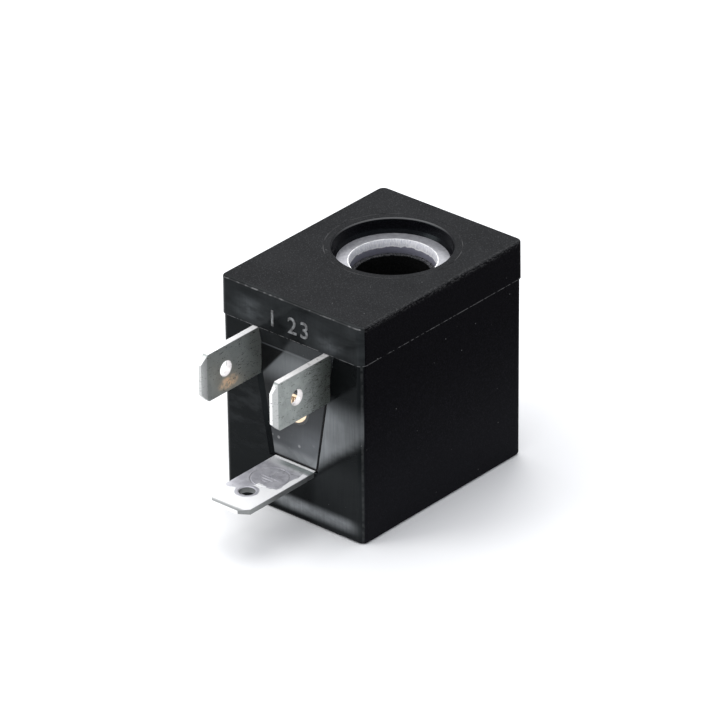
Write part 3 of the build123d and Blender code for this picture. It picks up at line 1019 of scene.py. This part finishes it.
# %% [markdown]
# ## The winding
# A layer of enamelled wire is a row of rings, close enough to a helix at this pitch. One ring is a
# torus with few sides, an Array repeats it along the tube, and a plain sleeve of copper behind it
# stands for the layers below.

# %% Winding
wire_radius = wire_pitch / 2 * mm
winding_radius = winding_high.x
turn_count = int((winding_high.z - winding_low.z) / (2 * wire_radius))

winding = rod("windings", winding_radius - 0.8 * wire_radius, (0, 0, winding_low.z),
              (0, 0, winding_high.z), sides=72)
drill(winding, tube_outside)
select_nothing()
bpy.ops.mesh.primitive_torus_add(location=(0, 0, winding_low.z + wire_radius),
                                 major_radius=winding_radius - wire_radius, minor_radius=wire_radius,
                                 major_segments=72, minor_segments=6)
turn = settle(bpy.context.active_object, "wire_turn")
apply(turn, "ARRAY", count=turn_count, use_relative_offset=False, use_constant_offset=True,
      constant_offset_displace=(0, 0, 2 * wire_radius))
alone(winding)
turn.select_set(True)
bpy.ops.object.join()
hand_over(winding, "enamelled_copper", "copper", "winding")

# %% [markdown]
# ## The power tabs
# A 6.3 mm push-on tab is blanked from strip: its corners are cut off, both faces slope in at the
# tip so that it finds the socket, and a hole takes the socket's spring. Cutting a box with planes
# gives all of those. Inside the moulding the shank has notches that key it, and a narrow tail for
# the wire. Both tabs are the same, so the second is a copy set across.

# %% One power tab
tab_low, tab_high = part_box("power_terminal_right")
tab_middle = (tab_low.z + tab_high.z) / 2
tip_chamfer = 1.15 * mm
tip_bevel = 0.95 * mm
tip_slope = 0.2 * mm
shank_end = -12.1 * mm
tail_width = 1.6 * mm

tab = box("tab_right", tab_low, (tab_high.x, shank_end, tab_high.z))
edit(tab)
tab_sides = ((tab_high, 1), (tab_low, -1))
for side, outwards in tab_sides:
    slice_off((0, tab_low.y, side.z - outwards * tip_chamfer), (0, -1, outwards))
for side, outwards in tab_sides:
    slice_off((side.x - outwards * tip_slope, tab_low.y, 0), (outwards * tip_bevel, -tip_slope, 0))
for height in (tab_middle, tab_middle + tail_width):
    pick("faces", y=shank_end)
    split((0, 0, height), (0, 0, 1))
pick("faces", lambda f: tab_middle < middle(f).z < tab_middle + tail_width, y=shank_end)
extrude(y=tab_high.y - shank_end)

# %% Its hole and notches, and the second tab
hole_from_tip = 4.15 * mm
tab_hole_radius = 1.0 * mm
notch_place = -14.555 * mm
notch_radius = 0.5 * mm


def cross_hole(piece, radius, y, z, sides=48):
    combine(piece, rod("punch", radius, (tab_low.x - 1 * mm, y, z), (tab_high.x + 1 * mm, y, z),
                       sides, axis="x"))


cross_hole(tab, tab_hole_radius, tab_low.y + hole_from_tip, tab_middle)
for edge_height in (tab_low.z, tab_high.z):
    cross_hole(tab, notch_radius, notch_place, edge_height, sides=32)
tab_blank = twin(tab, "tab_blank")
soften(tab, 0.06 * mm)
other_tab = twin(tab, "tab_left")
other_blank = twin(tab_blank, "other_blank")
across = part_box("power_terminal_left")[0].x - tab_low.x
for piece in (other_tab, other_blank):
    piece.location.x = across
    settle(piece, piece.name)
hand_over(tab, "tinned_upright_tab", "tinned_tab", "power_terminal_right")
hand_over(other_tab, "tinned_upright_tab", "tinned_tab", "power_terminal_left")

# %% [markdown]
# ## The earth tab
# This tab lies flat. Behind the wall it steps down to the bracket and is riveted to it, so it is
# modelled as the strip is bent: a short cube at the step, its back face drawn out to be the foot,
# its top face up to the blade's height, and the blade's front face out to the tip. The outline
# symbol for earth, a ring with one upright and three bars, is pressed shallowly in its top face.

# %% Earth tab
earth_low, earth_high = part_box("earth_terminal")
strip = 0.8 * mm
bend_inside, bend_outside = 0.3 * mm, 1.1 * mm
step_front = -13.5 * mm
step_back = step_front + strip
foot_top = base_top + strip
blade_under = earth_high.z - strip

earth = box("earth_tab", (earth_low.x, step_front, earth_low.z), (earth_high.x, step_back, foot_top))
edit(earth)
pick("faces", y=step_back)
extrude(y=earth_high.y - step_back)
pick("faces", lambda f: middle(f).y < step_back, z=foot_top)
extrude(z=blade_under - foot_top)
extrude(z=strip)
pick("faces", lambda f: middle(f).z > blade_under, y=step_front)
extrude(y=earth_low.y - step_front)
forget_splits()
pick("edges", lambda e: on(e, y=step_back, z=earth_high.z) or on(e, y=step_front, z=earth_low.z))
bevel(bend_outside, 6)
pick("edges", lambda e: on(e, y=step_back, z=foot_top) or on(e, y=step_front, z=blade_under))
bevel(bend_inside, 4)
for x, outwards in ((earth_high.x, 1), (earth_low.x, -1)):
    slice_off((x - outwards * tip_chamfer, earth_low.y, 0), (outwards, -1, 0))
for z, outwards in ((earth_high.z, 1), (blade_under, -1)):
    slice_off((0, earth_low.y, z - outwards * tip_slope), (0, -tip_slope, outwards * tip_bevel))

# %% Its holes and the pressed earth symbol
earth_hole = Vector((0, earth_low.y + hole_from_tip, earth_high.z))
countersink = 0.14 * mm
symbol_place = -22.6 * mm
symbol_radius = 2.45 * mm
line_width = 0.2 * mm
half_line = line_width / 2
press_low = earth_high.z - 0.08 * mm
press_high = earth_high.z + 0.5 * mm
upright_low, upright_high = symbol_place - 0.1 * mm, symbol_place + 1.5 * mm
bar_spacing = 0.5 * mm
bar_reaches = (1.35 * mm, 0.85 * mm, 0.35 * mm)


def press(half_width, low_y, high_y):
    """Presses a line into the tab, between two depths along it."""
    combine(earth, box("press", (-half_width, low_y, press_low), (half_width, high_y, press_high)))


drill(earth, tab_hole_radius, y=earth_hole.y, sides=48)
drill(earth, rivet_radius, y=rivet_place, sides=48)
earth_blank = twin(earth, "earth_blank")
edit(earth)
pick("edges", lambda e: all(abs((co - earth_hole).length - tab_hole_radius) < hair for co in corners(e)),
     z=earth_high.z)
bevel(countersink, 3)
ring = rod("press", symbol_radius, (0, symbol_place, press_low), (0, symbol_place, press_high), sides=96)
drill(ring, symbol_radius - line_width, y=symbol_place, sides=96)
combine(earth, ring)
press(half_line, upright_low, upright_high)
for row, reach in enumerate(bar_reaches):
    y = upright_low - row * bar_spacing
    press(reach, y - half_line, y + half_line)
soften(earth, 0.05 * mm, angle=50)
hand_over(earth, "tinned_flat_tab", "tinned_tab", "earth_terminal")

# %% [markdown]
# ## The rivet
# A rivet is pushed through from below and its head is formed by the tool, so the head is domed and
# the lower end fills the hole flush.

# %% Rivet
rivet_low, rivet_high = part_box("earth_rivet")
head_radius = (rivet_high.x - rivet_low.x) / 2
dome = 0.45 * mm

rivet = rod("rivet", rivet_radius, (0, rivet_place, rivet_low.z), (0, rivet_place, foot_top), sides=48)
edit(rivet)
pick("faces", z=foot_top)
extrude()
resize(Vector((0, rivet_place, foot_top)), x=head_radius / rivet_radius, y=head_radius / rivet_radius)
extrude(z=rivet_high.z - foot_top)
pick("edges", z=rivet_high.z)
bevel(dome, 6)
soften(rivet, 0.03 * mm)
hand_over(rivet, "plated_rivet", "rivet_steel", "earth_rivet")

# %% [markdown]
# ## The screw insert
# The plug's fixing screw goes into a brass insert behind the panel. The insert is turned: a bar, a
# groove round it that the plastic grips, a chamfered mouth and a blind core. The thread is cut by a
# small triangle that the Screw modifier winds along the core.

# %% Insert
insert_low, insert_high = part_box("screw_insert")
insert_height = (insert_low.z + insert_high.z) / 2
insert_radius = (insert_high.z - insert_low.z) / 2
insert_face = Vector((0, insert_low.y, insert_height))
groove_place = insert_low.y + 2.2 * mm
groove_width = 1.6 * mm
groove_radius = insert_radius - 0.3 * mm
mouth_radius = 1.5 * mm
core_radius = 1.25 * mm
core_depth = 5.2 * mm
mouth_depth = mouth_radius - core_radius


def turn_to(radius, from_radius, shift):
    """Draws the picked end face to a new radius in its own plane, then out or in along the bar."""
    extrude()
    resize(insert_face, x=radius / from_radius, z=radius / from_radius)
    extrude(y=shift)


insert = rod("insert", insert_radius, insert_face, (0, groove_place, insert_height), axis="y")
edit(insert)
pick("faces", y=groove_place)
turn_to(groove_radius, insert_radius, groove_width)
turn_to(insert_radius, groove_radius, insert_high.y - groove_place - groove_width)
insert_blank = twin(insert, "insert_blank")
edit(insert)
pick("faces", y=insert_low.y)
turn_to(mouth_radius, insert_radius, mouth_depth)
resize(insert_face, x=core_radius / mouth_radius, z=core_radius / mouth_radius)
extrude(y=core_depth - mouth_depth)

# %% Its thread
thread_pitch = 0.5 * mm
thread_turns = 9
thread_radius = 1.5 * mm
cutter_radius = 0.29 * mm
cutter_place = Vector((thread_radius - cutter_radius, insert_low.y + 0.1 * mm, 0))
lift = Vector((0, 0, insert_height))

# The Screw modifier winds round the piece's own origin, so the thread is cut there and then lifted
select_nothing()
bpy.ops.mesh.primitive_circle_add(vertices=3, radius=cutter_radius, location=cutter_place)
thread = settle(bpy.context.active_object, "thread_cutter")
edit(thread)
pick_all()
bpy.ops.transform.rotate(value=math.pi / 2, orient_axis="Z", center_override=cutter_place)
apply(thread, "SCREW", axis="Y", angle=2 * math.pi * thread_turns, screw_offset=thread_pitch * thread_turns,
      steps=24 * thread_turns, render_steps=24 * thread_turns, use_merge_vertices=True)
edit(thread)
for _end in range(2):
    open_edges = [e for e in bmesh.from_edit_mesh(thread.data).edges if e.is_boundary]
    near_end = middle(open_edges[0])
    pick("edges", lambda e: e.is_boundary and (middle(e) - near_end).length < 1 * mm)
    bpy.ops.mesh.edge_face_add()
face_outwards()
open_edges = [e for e in bmesh.from_edit_mesh(thread.data).edges if e.is_boundary]
print("open edges in the thread cutter:", len(open_edges))
alone(thread)
thread.location = lift
settle(thread, "thread_cutter")
combine(insert, thread)
soften(insert, 0.04 * mm, angle=50)
hand_over(insert, "turned_brass", "insert_brass", "screw_insert")

# %% [markdown]
# ## The terminal carrier
# Before the last moulding, the tabs and the insert sit in a small carrier of the same plastic. Its
# front plate, narrow at the bottom, is what shows between the tabs. The plate starts as a box whose
# underside is drawn in, and the grip behind it is a box with four rounded edges.

# %% Carrier
carrier_low, carrier_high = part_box("terminal_carrier")
grip_low = 8.0 * mm
grip_corner = 1.0 * mm
panel_top = 22.0 * mm
panel_low = earth_high.z
panel_half_top = 5.6 * mm
panel_half_low = 3.2 * mm
panel_lip = 1.0 * mm


def panel_box(name, front, behind):
    """The panel's outline as a solid between two depths: a box with its underside drawn in."""
    panel = box(name, (-panel_half_top, front, panel_low), (panel_half_top, behind, panel_top))
    edit(panel)
    pick("faces", z=panel_low)
    resize(x=panel_half_low / panel_half_top)
    return panel


carrier = box("carrier", (carrier_low.x, carrier_low.y + panel_lip, grip_low), carrier_high)
edit(carrier)
pick("edges", lambda e: along(e, "y", 1 * mm))
bevel(grip_corner, 8)
combine(carrier, panel_box("panel", carrier_low.y, carrier_low.y + 2 * panel_lip), "UNION")
carrier_blank = twin(carrier, "carrier_blank")
for blank in (tab_blank, other_blank, insert_blank):
    combine(carrier, grown(blank))
hand_over(carrier, "carrier_black", "carrier_plastic", "terminal_carrier")

# %% [markdown]
# ## The moulding
# The block is two mould halves that taper a fifth of a degree from the parting line, the upper one
# a hair larger, which is why a fine step runs right round. A box of the lower half comes first. Its
# bottom is drawn in for the taper, its corners are rounded, and the top face is drawn out for the
# step and raised to be the upper half.

# %% Block
low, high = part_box("body_moulding")
parting_height = parting_line * mm
band_step = 0.12 * mm
block_corner = 0.9 * mm
draft = math.tan(math.radians(0.2))
width, depth = high.x - low.x, high.y - low.y
block_centre = Vector(((low.x + high.x) / 2, (low.y + high.y) / 2, 0))


def scale_outline(from_inset, to_inset):
    """Draws the picked outline in or out, from one inset of the full outline to another."""
    resize(block_centre, x=(width - 2 * to_inset) / (width - 2 * from_inset),
           y=(depth - 2 * to_inset) / (depth - 2 * from_inset))


step = Vector((band_step, band_step, 0))
block = box("moulding", low + step, Vector((high.x, high.y, parting_height)) - step)
edit(block)
pick("faces", z=0)
scale_outline(band_step, band_step + draft * parting_height)
pick("edges", lambda e: along(e, "z", 1 * mm))
bevel(block_corner, 8)
pick("faces", z=parting_height)
extrude()
scale_outline(band_step, 0)
extrude(z=high.z - parting_height)
scale_outline(0, draft * (high.z - parting_height))
for height, edge_radius, segments in ((high.z, 0.24 * mm, 4), (0, 0.42 * mm, 5)):
    pick("edges", z=height)
    bevel(edge_radius, segments)

# %% [markdown]
# ### The connector pocket
# Between the tabs the front wall is sunk by less than half a millimetre to the carrier's face, with
# sloped sides and a longer slope at the top. The tool that cuts it starts as a box: its lower end
# is narrowed, then its front is drawn out sideways and upwards.

# %% Connector pocket
side_slope = 0.65 * mm
front_rim = low.y + band_step
flank = (panel_half_top - panel_half_low) / (panel_top - panel_low)
rim_half_top = panel_half_top + flank * (parting_height - panel_top) + side_slope
tool_low = panel_low - hair / 2

tool = panel_box("pocket_tool", front_rim, carrier_low.y)
pick("faces", z=panel_low)
bpy.ops.transform.translate(value=(0, 0, tool_low - panel_low))
pick("edges", y=front_rim, z=tool_low)
resize(x=(panel_half_low + side_slope) / panel_half_low)
pick("edges", y=front_rim, z=panel_top)
resize(x=rim_half_top / panel_half_top)
bpy.ops.transform.translate(value=(0, 0, parting_height - panel_top))
pick("faces", y=front_rim)
extrude(y=-0.05 * mm)
combine(block, tool)

# %% [markdown]
# ### The recesses round the bore
# A nut and a seal sit on the bracket's ring at the top, so the plastic stands back from it there
# and at the base. The rim of the top recess is a chamfer with a painted highlight on its far side,
# and a faint ring round it is the witness of the mould's round insert.

# %% Recesses
nut_recess_radius = 7.2 * mm
ring_radius = 6.8 * mm
web_height = 0.4 * mm
base_recess_radius = 7.0 * mm
spool_clearance = 5.35 * mm
rim_chamfer = 0.25 * mm
witness_radius = 8.3 * mm
witness_width = 0.07 * mm
witness_depth = 0.03 * mm

nut_tool = rod("nut_tool", ring_radius, (0, 0, bracket_high.z - plate_thickness / 2),
               (0, 0, bracket_high.z))
edit(nut_tool)
pick("faces", z=bracket_high.z)
extrude(z=web_height)
resize(x=nut_recess_radius / ring_radius, y=nut_recess_radius / ring_radius)
extrude(z=overhead - bracket_high.z)
combine(block, nut_tool)
drill(block, base_recess_radius, high=bracket_low.z + plate_thickness / 2)
drill(block, spool_clearance)
for radius, height, segments in ((nut_recess_radius, high.z, 1), (base_recess_radius, 0, 2)):
    edit(block)
    pick("edges", lambda e: all(abs(co.xy.length - radius) < 0.02 * mm for co in corners(e)), z=height)
    bevel(rim_chamfer, segments)
soften(block, 0.035 * mm, angle=38)
witness = rod("witness_tool", witness_radius, (0, 0, high.z - witness_depth), (0, 0, overhead))
drill(witness, witness_radius - witness_width, high=overhead + 1 * mm)
combine(block, witness)

# %% [markdown]
# ### Moulded round its inserts
# The plastic fills whatever the inserts leave, so each of them is cut from the block. The spares
# kept before the edges were softened are the tools, grown by a hair so that no face of a tool lies
# on a face of the block. Plain bars stand in for the winding, the leads with their sleeves and
# joints, and the rivet.

# %% Cavities
tape_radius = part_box("winding_tape")[1].x
overlap = 0.1 * mm
drill(block, tape_radius, spool_low.z, spool_high.z)
drill(block, flange_radius, spool_low.z - overlap, winding_low.z)
drill(block, flange_radius, winding_high.z, spool_high.z + overlap)
for blank in (bracket_blank, carrier_blank, tab_blank, other_blank, earth_blank):
    combine(block, grown(blank))
lead_low, lead_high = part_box("start_lead")
for kind in ("lead", "sleeve", "joint"):
    for end in ("start", "finish"):
        node_low, node_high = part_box(f"{end}_{kind}")
        # A joint is a bead cut flat on one side: its height, not its width, is twice its radius
        radius = (node_high.z - node_low.z) / 2
        x = math.copysign(lead_low.x + lead_high.x, node_low.x) / 2
        z = (node_low.z + node_high.z) / 2
        combine(block, rod("lead_tool", radius, (x, node_low.y - hair, z), (x, node_high.y + hair, z),
                           sides=32, axis="y"))
drill(block, rivet_radius + hair, rivet_low.z - hair, foot_top, rivet_place, 48)
drill(block, head_radius, foot_top - overlap, rivet_high.z, rivet_place, 48)
for blank in (bracket_blank, carrier_blank, tab_blank, other_blank, earth_blank, insert_blank):
    bpy.data.objects.remove(blank)
hand_over(block, "black_moulding", "moulding", "body_moulding")
body = bmesh.new()
body.from_mesh(block.data)
print("moulding volume in cubic mm:", round(body.calc_volume() / mm ** 3),
      "open edges:", sum(not e.is_manifold for e in body.edges))
body.free()

# %% [markdown]
# ### Raised digits
# The maker's figures on the upper band are left out. Plain generic digits stand there, thin raised
# strokes as an engraved mould leaves them.

# %% Digits
select_nothing()
bpy.ops.object.text_add()
digits = bpy.context.active_object
for setting, value in {"body": "1 23", "size": 3.0 * mm, "space_character": 1.25, "align_x": "CENTER",
                       "offset": -0.02 * mm, "extrude": 0.05 * mm, "bevel_depth": 0.05 * mm,
                       "bevel_resolution": 2}.items():
    setattr(digits.data, setting, value)
digits.rotation_euler = (math.pi / 2, 0, 0)
digits.location = (-0.3 * mm, low.y + 0.02 * mm, 24.95 * mm)
bpy.ops.object.convert(target="MESH")
digits = settle(bpy.context.active_object, "raised_digits")
edit(digits)
pick_all()
bpy.ops.mesh.remove_doubles(threshold=0.001 * mm)
face_outwards()
hand_over(digits, "highlit_digits", "moulding")

# %% [markdown]
# ## Pieces that keep their CAD shape
# The tape, the leads with their sleeves, and the solder joints are simple forms that
# the CAD model already has exactly. They only need their finishes.

# %% Finishes on the carried-over nodes
carried = {
    "winding_tape": "polyester_tape", "start_lead": "enamelled_copper", "finish_lead": "enamelled_copper",
    "start_sleeve": "glass_braid", "finish_sleeve": "glass_braid", "start_joint": "solder", "finish_joint": "solder",
}
for node, finish_name in carried.items():
    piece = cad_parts[node]
    piece.data.materials.clear()
    piece.data.materials.append(finishes[finish_name])
print(len(carried), "CAD nodes dressed")

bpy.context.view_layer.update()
select_nothing()
